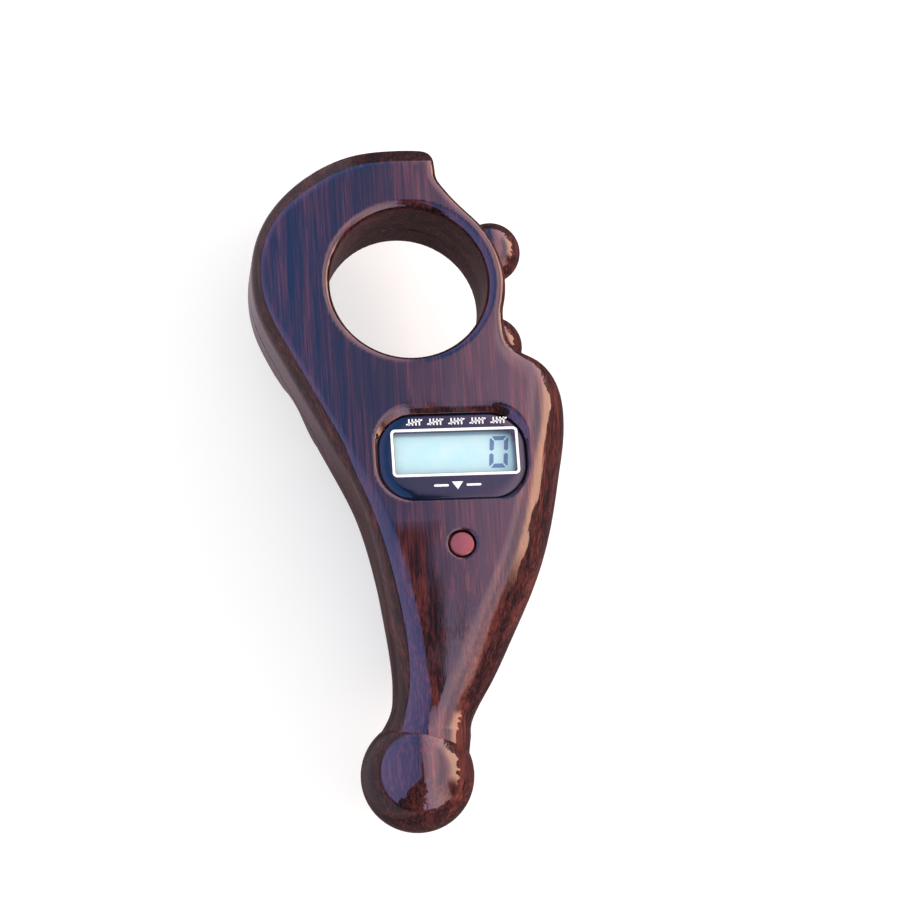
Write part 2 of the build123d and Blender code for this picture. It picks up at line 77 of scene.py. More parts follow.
# Bevel along the ring's left and top edge: y, how far it runs in, how far it drops
LEFT_BEVEL = [(-6.0, 0.0, 0.0), (4.0, 1.6, 2.6), (14.0, 1.5, 2.7), (24.0, 1.4, 2.6), (34.0, 1.4, 2.5),
              (42.0, 1.9, 2.3), (48.0, 2.9, 2.5), (52.6, 3.2, 2.6)]
HOOK_TOP = 52.5                        # the same bevel runs straight across the hook's tip
# Heights of the front and the back along the case: y, z
FRONT_HEIGHTS = [(-60.0, 17.7), (-43.0, 17.7), (-37.0, 17.8), (-31.0, 19.1), (-24.0, 21.1), (-16.0, 22.6),
                 (-8.0, 23.0), (0.0, 23.0), (60.0, 23.0)]
BACK_HEIGHTS = [(-60.0, 5.8), (-43.0, 5.8), (-37.0, 5.5), (-31.0, 4.0), (-24.0, 1.9), (-16.0, 0.4),
                (-8.0, 0.0), (7.0, 0.0), (9.0, 0.4), (12.25, 3.75), (15.5, 7.1), (17.5, 7.5), (60.0, 7.5)]
BACK_ROUND = 2.4                       # least rounding of the back's edges
# Rounding of the palm swell's left edge along the case: y, run, drop
LEFT_SWELL = [(-37.0, 5.6, 6.0), (-31.0, 5.8, 8.4), (-24.0, 7.0, 11.0), (-16.0, 8.0, 13.0),
              (8.0, 8.0, 13.0), (13.0, 6.0, 8.5), (17.5, 3.0, 3.4), (20.0, 2.4, 2.4)]
FACE_CROWN = 0.5                       # how far the face falls 22 mm to each side of the display

PANEL = (4.85, 2.1, 22.4, 13.5)        # x, y, width, height of the black display panel
PANEL_CORNER = 5.6
PANEL_TOP = 22.1
SEAT_Z = 21.5
PAD_BOTTOM = 20.7
RIM = (4.9, 2.85, 24.3, 15.5)          # mouth of the panel's recess
WINDOW = (5.3, 2.8, 18.3, 6.5)
RESET = (5.28, -11.66)
RESET_HOLE = 2.08
RESET_HOLE_BOTTOM = 19.0
RESET_RADIUS, RESET_SIDE_TOP, RESET_TOP = 1.8, 22.55, 22.9
RESET_FLANGE, RESET_FLANGE_Z = 2.7, (19.9, 20.6)
PANEL_PILLOW = (1.6, 0.45)             # how far the panel's rounded edge runs in and how far it drops
PRINT_LOW, PRINT_TOP = 22.06, 22.13
TALLY_PLACES = (-1.4, 1.8, 5.0, 8.2, 11.4)
TALLY_STEP, TALLY_Y, TALLY_WIDTH = 0.52, (7.18, 8.02), 0.22
POINTER = (5.3, -3.05, -1.85, 0.85)    # triangle over the reset button: x, tip, base, half width
POINTER_BARS, BAR_WIDTH = (1.5, 3.4), 0.34
FILM_TOP = 20.9
DIGIT, DIGIT_LEAN = (10.4, 0.47), 0.095
BOARD_TOP = 17.4
CELL = (5.0, -0.5)                     # axis of the battery door
UNLOCK_ANGLE = 60.0
POCKET_FLOOR = 13.0
PARTING_GAP = 0.01
SEAM_ROUND = 0.12
DOOR_RADIUS = 7.0
DOOR_Z = (0.2, 2.7)
COIN_SLOT = (9.0, 1.4, 0.9)            # length, width, depth
COUNT_GAP = 0.1                        # round the count buttons in their pockets
COUNT_SLOT = (5.6, 2.0, 1.22)          # slot for their lugs: half height, half width, depth
STEM_RADIUS, STEM_TOP_Y = 2.6, -33.0   # stem and collar that hold the end ball in the neck
COLLAR_RADIUS, COLLAR_Y, COLLAR_HALF = 3.8, -34.7, 0.5
FIT_GAP = 0.05                         # round the stem and the collar
HOLLOW_END_Y = -31.0
# The neck's flare against the end ball: where it starts, its blend, and how it fades round the ball
FLARE_START_Y, FLARE_FADE_Y = -30.0, -38.6
FLARE_OFFSET, FLARE_BLEND, FLARE_FADE = 0.6, 4.0, 0.8
NECK_SINK = 0.6                        # how far the neck's end reaches under the ball's surface
# Opening of the battery door, seat of the cell's holder above it, and notches for the door's lugs
DOOR_OPENING, DOOR_OPENING_TOP = 7.1, 2.8
HOLDER_SEAT, HOLDER_SEAT_Z = 9.05, (1.8, 4.8)
NOTCH_HALF_WIDTH, NOTCH_REACH, NOTCH_TOP = 1.85, 8.15, 1.9
LUG_REACH, LUG_HALF_WIDTH, LUG_Z = 8.0, 1.7, (1.95, 2.7)
DOOR_GROOVE, DOOR_GROOVE_ROUND = 5.4, 0.28
# Screws: boss, hole and head recess of the case screws, boss of the board screws
CASE_BOSS, SCREW_HOLE, SCREW_HOLE_TOP = 2.6, 0.85, 18.7
HEAD_RECESS, HEAD_RECESS_TOP = 1.65, 9.5
BOARD_BOSS = 1.3
CASE_SCREWS = [(-3.5, 47.0), (-12.2, 14.6), (3.6, -23.5)]
BOARD_SCREWS = [(-8.3, 9.5), (-0.6, -9.8), (11.2, -9.8)]


def cubic_through(t, values, at):
    """Natural cubic spline through the values, read at the given places."""
    t, values = np.asarray(t, float), np.asarray(values, float)
    h = np.diff(t)
    n = len(t)
    system = np.eye(n)
    right = np.zeros_like(values)
    for i in range(1, n - 1):
        system[i, i - 1:i + 2] = h[i - 1], 2 * (h[i - 1] + h[i]), h[i]
        right[i] = 6 * ((values[i + 1] - values[i]) / h[i] - (values[i] - values[i - 1]) / h[i - 1])
    bend = np.linalg.solve(system, right)
    at = np.clip(at, t[0], t[-1])
    i = np.clip(np.searchsorted(t, at) - 1, 0, n - 2)
    width = h[i]
    a, b = (t[i + 1] - at) / width, (at - t[i]) / width
    if values.ndim == 2:
        a, b, width = a[:, None], b[:, None], width[:, None]
    return (a * values[i] + b * values[i + 1]
            + ((a ** 3 - a) * bend[i] + (b ** 3 - b) * bend[i + 1]) * width ** 2 / 6)


def along(points, step=0.1):
    """The smooth line through the points, read about every step."""
    points = np.asarray(points, float)
    t = np.r_[0, np.cumsum(np.linalg.norm(np.diff(points[:, :2], axis=0), axis=1))]
    at = np.linspace(0, t[-1], int(t[-1] / step))
    line = cubic_through(t, points[:, :2], at)
    sizes = [np.interp(at, t, points[:, k]) for k in (2, 3)]
    return np.column_stack([line, *sizes])


class Outline:
    """The case's outline as closely spaced points with outward directions and edge sizes."""

    def __init__(self):
        angles = np.radians(np.linspace(*RING_ANGLES, 160))
        ring = np.column_stack([BORE[0] + RING_RADIUS * np.cos(angles),
                                BORE[1] + RING_RADIUS * np.sin(angles),
                                np.full(160, 1.4), np.full(160, 1.4)])
        rows = np.vstack([along(LEFT_SIDE), along(SADDLE), ring, along(RIGHT_SIDE)])
        steps = np.linalg.norm(np.diff(rows[:, :2], axis=0), axis=1)
        rows = rows[np.r_[True, steps > 0.01]]
        rows = self.evenly(rows)
        reach = 8
        kernel = np.ones(2 * reach + 1) / (2 * reach + 1)
        padded = np.vstack([np.repeat(rows[:1], reach, 0), rows, np.repeat(rows[-1:], reach, 0)])
        rows = np.column_stack([np.convolve(column, kernel, "valid") for column in padded.T])
        self.points = rows[:, :2]
        self.run, self.drop = rows[:, 2], rows[:, 3]
        y, back_run, back_drop = np.array(LEFT_SWELL).T
        on_left = np.arange(len(rows)) < np.argmax(self.points[:, 1])
        self.back_run = np.where(on_left, np.interp(self.points[:, 1], y, back_run), self.run)
        right_drop = np.where(self.points[:, 1] < 14.0, np.maximum(self.drop, self.run), self.drop)
        self.back_drop = np.where(on_left, np.interp(self.points[:, 1], y, back_drop), right_drop)
        y, bevel_run, bevel_drop = np.array(LEFT_BEVEL).T
        self.bevel_run = on_left * np.interp(self.points[:, 1], y, bevel_run)
        self.bevel_drop = on_left * np.interp(self.points[:, 1], y, bevel_drop)
        tangent = np.gradient(self.points, axis=0)
        tangent /= np.linalg.norm(tangent, axis=1)[:, None]
        self.outward = np.column_stack([-tangent[:, 1], tangent[:, 0]])
        self.tree = KDTree(len(self.points))
        for i, (x, y) in enumerate(self.points):
            self.tree.insert((x, y, 0), i)
        self.tree.balance()

    @staticmethod
    def evenly(rows, step=0.1):
        """The same line with points evenly spaced along it."""
        t = np.r_[0, np.cumsum(np.linalg.norm(np.diff(rows[:, :2], axis=0), axis=1))]
        at = np.arange(0, t[-1], step)
        return np.column_stack([np.interp(at, t, column) for column in rows.T])

    def nearest(self, x, y):
        """Index of the outline's nearest point for every place."""
        find = self.tree.find
        return np.array([find((a, b, 0.0))[1] for a, b in zip(x, y)], int)


outline = Outline()


def heights(table, y):
    """Height of the front or the back at the given places along the case."""
    t, z = np.array(table).T
    fine = np.linspace(t[0], t[-1], 1201)
    level = cubic_through(t, z, fine)
    level = np.clip(level, z.min(), z.max())
    return np.interp(y, fine, level)


# ---------- the case as a field: below zero inside the material, above zero outside ----------
def smooth_max(a, b, size):
    """The larger of two fields, with the edge between them rounded."""
    share = np.clip(0.5 + 0.5 * (a - b) / size, 0, 1)
    return b + (a - b) * share + size * share * (1 - share)


def smooth_min(a, b, size):
    """The smaller of two fields, with the hollow between them rounded."""
    return -smooth_max(-a, -b, size)


def span(value, low, high):
    """Distance outside the stretch from low to high."""
    return np.maximum(low - value, value - high)


def rounded_edge(side, top, run, drop):
    """Material inside a side wall and under a top, with an elliptical edge between them."""
    u = np.maximum(1 + side / run, 0)
    v = np.maximum(1 + top / drop, 0)
    return (np.hypot(u, v) - 1) * np.minimum(run, drop)


class Place:
    """Points in space together with what the fields need to know about them."""

    def __init__(self, points, near):
        self.x, self.y, self.z = points.T
        self.near = near
        self.side = np.einsum("ij,ij->i", points[:, :2] - outline.points[near], outline.outward[near])
        self.front = heights(FRONT_HEIGHTS, self.y)
        self.back = heights(BACK_HEIGHTS, self.y)


def case_form(p, inset=0.0):
    """The outer form, or with an inset the space inside it, before the finger hole."""
    run = np.maximum(outline.run[p.near] - inset, 0.8)
    height = p.front - p.back - 2 * inset
    drop = np.clip(outline.drop[p.near] - inset, 0.8, height / 2)
    crown = FACE_CROWN * ((p.x - PANEL[0]) / 22.0) ** 2
    top = p.z - (p.front - crown - inset)
    under = (p.back + inset) - p.z
    front = rounded_edge(p.side + inset, top, run, drop)
    on_tip = (p.x > 0.0) & (p.y > 44.0)
    beyond = np.where(on_tip, p.y - HOOK_TOP, p.side) + inset
    bevel_run = np.where(on_tip, LEFT_BEVEL[-1][1], outline.bevel_run[p.near])
    bevel_drop = np.where(on_tip, LEFT_BEVEL[-1][2], outline.bevel_drop[p.near])
    length = np.hypot(bevel_run, bevel_drop)
    bevel = beyond * bevel_drop + top * bevel_run + bevel_run * bevel_drop
    bevel = np.where(length > 0.2, bevel / np.maximum(length, 0.2), -5.0)
    front = smooth_max(front, bevel, size=0.5)
    back_run = np.maximum(outline.back_run[p.near] - inset, BACK_ROUND)
    back_drop = np.maximum(outline.back_drop[p.near] - inset, BACK_ROUND)
    back = rounded_edge(p.side + inset, under, back_run, np.minimum(back_drop, height - drop))
    return np.maximum(front, back)


def bore_form(p):
    """Material outside the finger hole, with both of its edges rounded."""
    side = BORE[2] - np.hypot(p.x - BORE[0], p.y - BORE[1])
    crown = FACE_CROWN * ((p.x - PANEL[0]) / 22.0) ** 2
    front = rounded_edge(side, p.z - p.front + crown, BORE_ROUND, BORE_ROUND)
    back = rounded_edge(side, p.back - p.z, BORE_ROUND, BORE_ROUND)
    return np.maximum(front, back)


def button_axis(p, side):
    """Distance along a count button's line, across it in the plane, and above it."""
    angle = math.radians(COUNT_ANGLES[side])
    dx, dy = p.x - BORE[0], p.y - BORE[1]
    out = dx * math.cos(angle) + dy * math.sin(angle)
    across = -dx * math.sin(angle) + dy * math.cos(angle)
    return out, across, p.z - COUNT_Z


def pocket(p, side):
    """Opening for a count button with the slot for its two lugs."""
    out, across, up = button_axis(p, side)
    round_part = np.maximum(np.hypot(across, up) - COUNT_RADIUS - COUNT_GAP,
                            span(out, POCKET_FLOOR, COUNT_DISTANCE + 1.5))
    half_height, half_width, depth = COUNT_SLOT
    slot = np.maximum(np.abs(up) - half_height, np.abs(across) - half_width)
    slot = np.maximum(slot, span(out, POCKET_FLOOR, POCKET_FLOOR + depth))
    return np.minimum(round_part, slot)


def thumb_cup(p):
    """Hollow in the shoulder round the lower button."""
    out, across, up = button_axis(p, "down")
    ball = np.sqrt((out - COUNT_DISTANCE) ** 2 + across ** 2 + up ** 2) - THUMB_CUP_RADIUS
    return np.maximum(ball, COUNT_DISTANCE - 1.0 - out)


def disc(p, x, y, radius):
    """Distance outside an upright cylinder."""
    return np.hypot(p.x - x, p.y - y) - radius


def rounded_rectangle(p, x, y, width, height, corner):
    """Distance outside an upright prism with rounded corners."""
    dx = np.abs(p.x - x) - (width / 2 - corner)
    dy = np.abs(p.y - y) - (height / 2 - corner)
    outside = np.hypot(np.maximum(dx, 0), np.maximum(dy, 0))
    return outside + np.minimum(np.maximum(dx, dy), 0) - corner


def panel_recess(p):
    """Seat of the display panel with its sloping mouth."""
    share = np.interp(p.z, [PANEL_TOP, FRONT_Z - 0.2, FRONT_Z, FRONT_Z + 0.2], [0.0, 0.5, 1.0, 1.5])
    x = PANEL[0] + share * (RIM[0] - PANEL[0])
    y = PANEL[1] + share * (RIM[1] - PANEL[1])
    width = PANEL[2] + 0.1 + share * (RIM[2] - PANEL[2])
    height = PANEL[3] + 0.1 + share * (RIM[3] - PANEL[3])
    return np.maximum(rounded_rectangle(p, x, y, width, height, PANEL_CORNER), SEAT_Z - p.z)


def ball_distance(p):
    """Distance outside the end ball."""
    x, y, z = BALL_CENTRE
    return np.sqrt((p.x - x) ** 2 + (p.y - y) ** 2 + (p.z - z) ** 2) - BALL_RADIUS


def hollow_case(p):
    """The outer form with its hollow and what both shells share."""
    body = np.maximum(case_form(p), bore_form(p))
    body = smooth_max(body, -thumb_cup(p), size=0.9)
    offset = FLARE_OFFSET + FLARE_FADE * np.maximum(FLARE_FADE_Y - p.y, 0)
    flare = smooth_min(body, ball_distance(p) + offset, FLARE_BLEND)
    body = np.where(p.y < FLARE_START_Y, flare, body)
    body = smooth_max(body, -NECK_SINK - ball_distance(p), size=0.1)
    space = smooth_max(case_form(p, WALL), -disc(p, BORE[0], BORE[1], BORE[2] + BORE_WALL), size=1.2)
    for x, y in CASE_SCREWS:
        space = smooth_max(space, -disc(p, x, y, CASE_BOSS), size=0.6)
    space = np.maximum(space, HOLLOW_END_Y - p.y)
    shell = smooth_max(body, -space, size=0.5)
    for side in COUNT_ANGLES:
        shell = smooth_max(shell, -pocket(p, side), size=0.25)
    return shell, body


def stem_socket(p):
    """Hole along the neck for the end ball's stem and collar."""
    radius = np.hypot(p.x, p.z - BALL_CENTRE[2])
    stem = np.maximum(radius - STEM_RADIUS - FIT_GAP, p.y - STEM_TOP_Y - FIT_GAP)
    collar = np.maximum(radius - COLLAR_RADIUS, np.abs(p.y - COLLAR_Y) - COLLAR_HALF) - FIT_GAP
    return np.minimum(stem, collar)


def front_field(p):
    """Front half of the case."""
    shell, body = hollow_case(p)
    x, y, width, height = PANEL
    pad = rounded_rectangle(p, x, y, width + 3, height + 3, PANEL_CORNER + 1)
    pad = np.maximum(pad, span(p.z, PAD_BOTTOM, SEAT_Z + 0.3))
    shell = np.minimum(shell, np.maximum(pad, body))
    for x, y in CASE_SCREWS:
        shell = np.maximum(shell, -np.maximum(disc(p, x, y, SCREW_HOLE), p.z - SCREW_HOLE_TOP))
    for x, y in BOARD_SCREWS:
        boss = np.maximum(disc(p, x, y, BOARD_BOSS), BOARD_TOP - p.z)
        shell = np.minimum(shell, np.maximum(boss, body))
    shell = smooth_max(shell, -panel_recess(p), size=0.22)
    x, y, width, height = WINDOW
    window = rounded_rectangle(p, x, y, width + 1.2, height + 1.2, 0.3)
    shell = smooth_max(shell, -window, size=0.2)
    hole = np.maximum(disc(p, *RESET, RESET_HOLE), RESET_HOLE_BOTTOM - p.z)
    shell = smooth_max(shell, -hole, size=0.3)
    shell = np.maximum(shell, -stem_socket(p))
    return smooth_max(shell, PARTING_Z + PARTING_GAP - p.z, SEAM_ROUND)


def rear_field(p):
    """Rear half of the case."""
    shell = hollow_case(p)[0]
    for x, y in CASE_SCREWS:
        recess = np.maximum(disc(p, x, y, HEAD_RECESS), p.z - HEAD_RECESS_TOP)
        shell = smooth_max(shell, -recess, size=0.3)
        shell = np.maximum(shell, -disc(p, x, y, SCREW_HOLE))
    opening = np.maximum(disc(p, *CELL, DOOR_OPENING), p.z - DOOR_OPENING_TOP)
    shell = smooth_max(shell, -opening, size=0.3)
    seat = np.maximum(disc(p, *CELL, HOLDER_SEAT), span(p.z, *HOLDER_SEAT_Z))
    shell = np.maximum(shell, -seat)
    turn = math.radians(UNLOCK_ANGLE)
    dx, dy = p.x - CELL[0], p.y - CELL[1]
    along_notch = dx * math.cos(turn) + dy * math.sin(turn)
    across_notch = -dx * math.sin(turn) + dy * math.cos(turn)
    notch = np.maximum(np.abs(across_notch) - NOTCH_HALF_WIDTH, np.abs(along_notch) - NOTCH_REACH)
    notch = np.maximum(notch, np.maximum(p.z - NOTCH_TOP, disc(p, *CELL, NOTCH_REACH)))
    shell = smooth_max(shell, -notch, size=0.2)
    shell = np.maximum(shell, -stem_socket(p))
    return smooth_max(shell, p.z - PARTING_Z, SEAM_ROUND)


def ball_field(p):
    """End ball with the stem and collar that hold it in the neck."""
    radius = np.hypot(p.x, p.z - BALL_CENTRE[2])
    stem = np.maximum(radius - STEM_RADIUS, span(p.y, BALL_CENTRE[1], STEM_TOP_Y))
    collar = np.maximum(radius - COLLAR_RADIUS, np.abs(p.y - COLLAR_Y) - COLLAR_HALF)
    return np.minimum(ball_distance(p), np.minimum(stem, collar))


def door_field(p):
    """Battery door: round bayonet cap with a rounded rim, a coin slot and two lugs."""
    radius = np.hypot(p.x - CELL[0], p.y - CELL[1])
    dx, dy = np.abs(p.x - CELL[0]), np.abs(p.y - CELL[1])
    low, high = DOOR_Z
    door = rounded_edge(radius - DOOR_RADIUS, low - p.z, 0.5, 0.5)
    door = np.maximum(door, p.z - high)
    groove = np.hypot(radius - DOOR_GROOVE, low - p.z) - DOOR_GROOVE_ROUND
    door = smooth_max(door, -groove, size=0.1)
    length, width, depth = COIN_SLOT
    slot = np.maximum(np.maximum(dx - length / 2, dy - width / 2), p.z - low - depth)
    door = smooth_max(door, -slot, size=0.2)
    lugs = np.maximum(np.maximum(radius - LUG_REACH, dy - LUG_HALF_WIDTH), span(p.z, *LUG_Z))
    return np.minimum(door, lugs)


# ---------- from a field to a mesh ----------
def grid_lines(*stretches):
    """Grid positions from stretches of (start, end, step)."""
    lines = [np.linspace(a, b, max(2, round((b - a) / step) + 1)) for a, b, step in stretches]
    return np.unique(np.round(np.concatenate(lines), 5))


def evaluate(field, points, near=None):
    """A field at many points, a stretch at a time to save memory."""
    if near is None:
        near = outline.nearest(points[:, 0], points[:, 1])
    size = 400000
    parts = [field(Place(points[i:i + size], near[i:i + size])) for i in range(0, len(points), size)]
    return np.concatenate(parts)


def surface_net(values, xs, ys, zs):
    """Closed mesh where the values change sign.

    Each cell in which they do gets one point, and each grid line on which they do one face.
    """
    inside = values < 0
    shape = np.array(values.shape) - 1
    count = np.zeros(shape, int)
    total = np.zeros((*shape, 3))
    lines = (xs, ys, zs)
    edges = []
    for axis in range(3):
        low = [slice(None)] * 3
        high = [slice(None)] * 3
        low[axis], high[axis] = slice(0, -1), slice(1, None)
        change = inside[tuple(low)] != inside[tuple(high)]
        at = np.argwhere(change)
        other = [k for k in range(3) if k != axis]
        keep = np.all([(at[:, k] > 0) & (at[:, k] < values.shape[k] - 1) for k in other], axis=0)
        at = at[keep]
        end = at.copy()
        end[:, axis] += 1
        v0, v1 = values[tuple(at.T)], values[tuple(end.T)]
        point = np.column_stack([lines[k][at[:, k]] for k in range(3)])
        step = lines[axis][end[:, axis]] - lines[axis][at[:, axis]]
        point[:, axis] += step * v0 / (v0 - v1)
        corners = []
        for a, b in ((-1, -1), (0, -1), (0, 0), (-1, 0)):
            cell = at.copy()
            cell[:, other[0]] += a
            cell[:, other[1]] += b
            np.add.at(total, tuple(cell.T), point)
            np.add.at(count, tuple(cell.T), 1)
            corners.append(np.ravel_multi_index(tuple(cell.T), tuple(shape)))
        quad = np.column_stack(corners)
        forward = (v0 < 0) != (axis == 1)
        quad[~forward] = quad[~forward][:, ::-1]
        edges.append(quad)
    quads = np.vstack(edges)
    used = np.flatnonzero(count.ravel())
    place = np.full(count.size, -1)
    place[used] = np.arange(len(used))
    vertices = total.reshape(-1, 3)[used] / count.ravel()[used][:, None]
    return vertices, place[quads]


def gradient(field, points, near, reach=0.02):
    """The field's slope at every point."""
    slope = np.empty_like(points)
    for axis in range(3):
        shift = np.zeros(3)
        shift[axis] = reach
        slope[:, axis] = (evaluate(field, points + shift, near) - evaluate(field, points - shift, near))
    return slope / (2 * reach)


def settle(field, points, rounds, most):
    """Moves points onto the field's surface and returns them with the outward directions there."""
    for _ in range(rounds):
        near = outline.nearest(points[:, 0], points[:, 1])
        value = evaluate(field, points, near)
        slope = gradient(field, points, near)
        square = np.maximum((slope ** 2).sum(1), 0.05)
        move = -(value / square)[:, None] * slope
        length = np.maximum(np.linalg.norm(move, axis=1), 1e-9)
        points = points + move * np.minimum(1, most / length)[:, None]
    near = outline.nearest(points[:, 0], points[:, 1])
    slope = gradient(field, points, near)
    return points, slope / np.maximum(np.linalg.norm(slope, axis=1), 1e-9)[:, None]


def mesh_object(name, vertices, faces, normals=None):
    """A mesh object from millimetre points, shaded smooth, with its own normals if they are given."""
    mesh = bpy.data.meshes.new(name)
    mesh.from_pydata((np.asarray(vertices) * MM).tolist(), [], [list(map(int, f)) for f in faces])
    mesh.validate()
    mesh.update()
    mesh.polygons.foreach_set("use_smooth", np.ones(len(mesh.polygons), bool))
    if normals is not None:
        mesh.normals_split_custom_set_from_vertices(np.asarray(normals).tolist())
    piece = bpy.data.objects.new(name, mesh)
    bpy.context.scene.collection.objects.link(piece)
    return piece


def from_field(name, field, xs, ys, zs):
    """Mesh of a field's surface over a grid."""
    gx, gy = np.meshgrid(xs, ys, indexing="ij")
    near = outline.nearest(gx.ravel(), gy.ravel())
    points = np.stack(np.meshgrid(xs, ys, zs, indexing="ij"), -1).reshape(-1, 3)
    values = evaluate(field, points, np.repeat(near, len(zs))).reshape(len(xs), len(ys), len(zs))
    vertices, faces = surface_net(values, xs, ys, zs)
    vertices, normals = settle(field, vertices, 3, 0.25)
    return mesh_object(name, vertices, faces, normals)


# ---------- meshes from loops ----------
def lofted(name, loops, ring=False, sharp=35.0):
    """Mesh through closed loops of equally many points, capped at both ends or closed into a ring."""
    count = len(loops[0])
    vertices = [point for loop in loops for point in loop]
    pairs = [(k, k + 1) for k in range(len(loops) - 1)]
    if ring:
        pairs.append((len(loops) - 1, 0))
    faces = []
    for low, high in pairs:
        for i in range(count):
            j = (i + 1) % count
            faces.append((low * count + i, low * count + j, high * count + j, high * count + i))
    if not ring:
        faces.append(tuple(reversed(range(count))))
        faces.append(tuple((len(loops) - 1) * count + i for i in range(count)))
    piece = mesh_object(name, vertices, faces)
    piece.data.set_sharp_from_angle(angle=math.radians(sharp))
    return piece


def rounded_loop(x, y, width, height, corner, z, per_corner=10):
    """Points round a rectangle with rounded corners."""
    points = []
    for turn, (sx, sy) in enumerate([(1, 1), (-1, 1), (-1, -1), (1, -1)]):
        cx, cy = x + sx * (width / 2 - corner), y + sy * (height / 2 - corner)
        for k in range(per_corner):
            angle = math.radians(90 * (turn + k / (per_corner - 1)))
            points.append((cx + corner * math.cos(angle), cy + corner * math.sin(angle), z))
    return points


def turned(name, x, y, profile, steps=64):
    """Round piece from its profile of radius and height, bottom first."""
    loops = []
    for radius, z in profile:
        angles = [2 * math.pi * k / steps for k in range(steps)]
        loops.append([(x + radius * math.cos(a), y + radius * math.sin(a), z) for a in angles])
    return lofted(name, loops, sharp=60.0)


def joined(name, pieces):
    """One object from several meshes."""
    vertices, faces = [], []
    for piece in pieces:
        start = len(vertices)
        vertices += [v.co / MM for v in piece.data.vertices]
        faces += [tuple(start + i for i in polygon.vertices) for polygon in piece.data.polygons]
        bpy.data.objects.remove(piece)
    whole = mesh_object(name, vertices, faces)
    whole.data.set_sharp_from_angle(angle=math.radians(35))
    return whole


def print_on(name, outline_points, low, high):
    """Thin raised print with the given outline."""
    return lofted(name, [[(x, y, z) for x, y in outline_points] for z in (low, high)])


def display_panel():
    """Black panel: pillowed towards its edge, with a bevelled window."""
    x, y, width, height = PANEL
    loops = [rounded_loop(x, y, width, height, PANEL_CORNER, SEAT_Z)]
    for k in range(9):
        angle = math.radians(90 * k / 8)
        inset = PANEL_PILLOW[0] * (1 - math.cos(angle))
        z = PANEL_TOP - PANEL_PILLOW[1] * (1 - math.sin(angle))
        loops.append(rounded_loop(x, y, width - 2 * inset, height - 2 * inset, PANEL_CORNER - inset, z))
    x, y, width, height = WINDOW
    loops.append(rounded_loop(x, y, width + 0.2, height + 0.2, 0.4, PANEL_TOP))
    loops.append(rounded_loop(x, y, width, height, 0.3, PANEL_TOP - 0.1))
    loops.append(rounded_loop(x, y, width, height, 0.3, SEAT_Z))
    return lofted("display_panel", loops, ring=True)


def window_line():
    """White line printed round the window."""
    x, y, width, height = WINDOW
    loops = []
    for extra, corner, z in ((0.95, 0.7, PRINT_LOW), (0.95, 0.7, PRINT_TOP),
                             (0.15, 0.35, PRINT_TOP), (0.15, 0.35, PRINT_LOW)):
        loops.append(rounded_loop(x, y, width + extra, height + extra, corner, z, 6))
    return lofted("window_line", loops, ring=True)


def stroke(start, end, width):
    """Outline of a straight stroke with rounded ends."""
    (x0, y0), (x1, y1) = start, end
    heading = math.atan2(y1 - y0, x1 - x0)
    points = []
    for (x, y), first in ((end, -90), (start, 90)):
        for k in range(6):
            angle = heading + math.radians(first + 36 * k)
            points.append((x + width / 2 * math.cos(angle), y + width / 2 * math.sin(angle)))
    return points


def panel_marks():
    """Plain printed marks: tally strokes over the window, a pointer to the reset button under it."""
    outlines = []
    low, high = TALLY_Y
    for x in TALLY_PLACES:
        for k in range(4):
            outlines.append(stroke((x + TALLY_STEP * k, low), (x + TALLY_STEP * k, high), TALLY_WIDTH))
        outlines.append(stroke((x - 0.38, low + 0.07), (x + 1.94, high - 0.07), TALLY_WIDTH))
    x, tip, base, half = POINTER
    start, end = POINTER_BARS
    for side in (-1, 1):
        outlines.append(stroke((x + side * start, -2.4), (x + side * end, -2.4), BAR_WIDTH))
    outlines.append([(x, tip), (x + half, base), (x - half, base)])
    marks = [print_on("mark", outline_points, PRINT_LOW - 0.2, PRINT_TOP) for outline_points in outlines]
    return joined("panel_marks", marks)


def digit_zero():
    """The display's digit: six leaning segments of a seven-segment zero."""
    width, height, thick = 2.8, 4.95, 0.64
    corner, gap = 0.32, 0.14
    level = [(corner, 0.0), (width - corner, 0.0), (width - thick - gap, thick), (thick + gap, thick)]
    upright = [(0.0, 0.40), (gap, 0.28), (thick, thick + 0.16), (thick, height / 2 - 0.42),
               (thick / 2, height / 2 - 0.18), (0.0, height / 2 - 0.36)]
    flip_x = [(False, False), (True, False), (True, True), (False, True)]
    shapes = [(level, False, False), (level, False, True)]
    shapes += [(upright, across, up) for across, up in flip_x]
    pieces = []
    for points, across, up in shapes:
        placed = []
        for px, py in points:
            px = width - px if across else px
            py = height - py if up else py
            placed.append((DIGIT[0] + px + DIGIT_LEAN * py, DIGIT[1] + py))
        if across == up:
            placed.reverse()
        pieces.append(print_on("segment", placed, FILM_TOP, FILM_TOP + 0.03))
    return joined("display_digit", pieces)


def reset_cap():
    """Reset button with a slightly domed top and a flange behind the face."""
    low, high = RESET_FLANGE_Z
    profile = [(RESET_FLANGE, low), (RESET_FLANGE, high)]
    profile += [(RESET_RADIUS, high), (RESET_RADIUS, RESET_SIDE_TOP)]
    for k in range(1, 7):
        angle = math.radians(15 * k)
        radius = RESET_RADIUS - 0.3 * (1 - math.cos(angle))
        profile.append((radius, RESET_SIDE_TOP + 0.25 * math.sin(angle)))
    for radius in (1.2, 0.8, 0.4, 0.05):
        profile.append((radius, RESET_TOP - 0.1 * (radius / 1.5) ** 2))
    return turned("reset_cap", *RESET, profile)


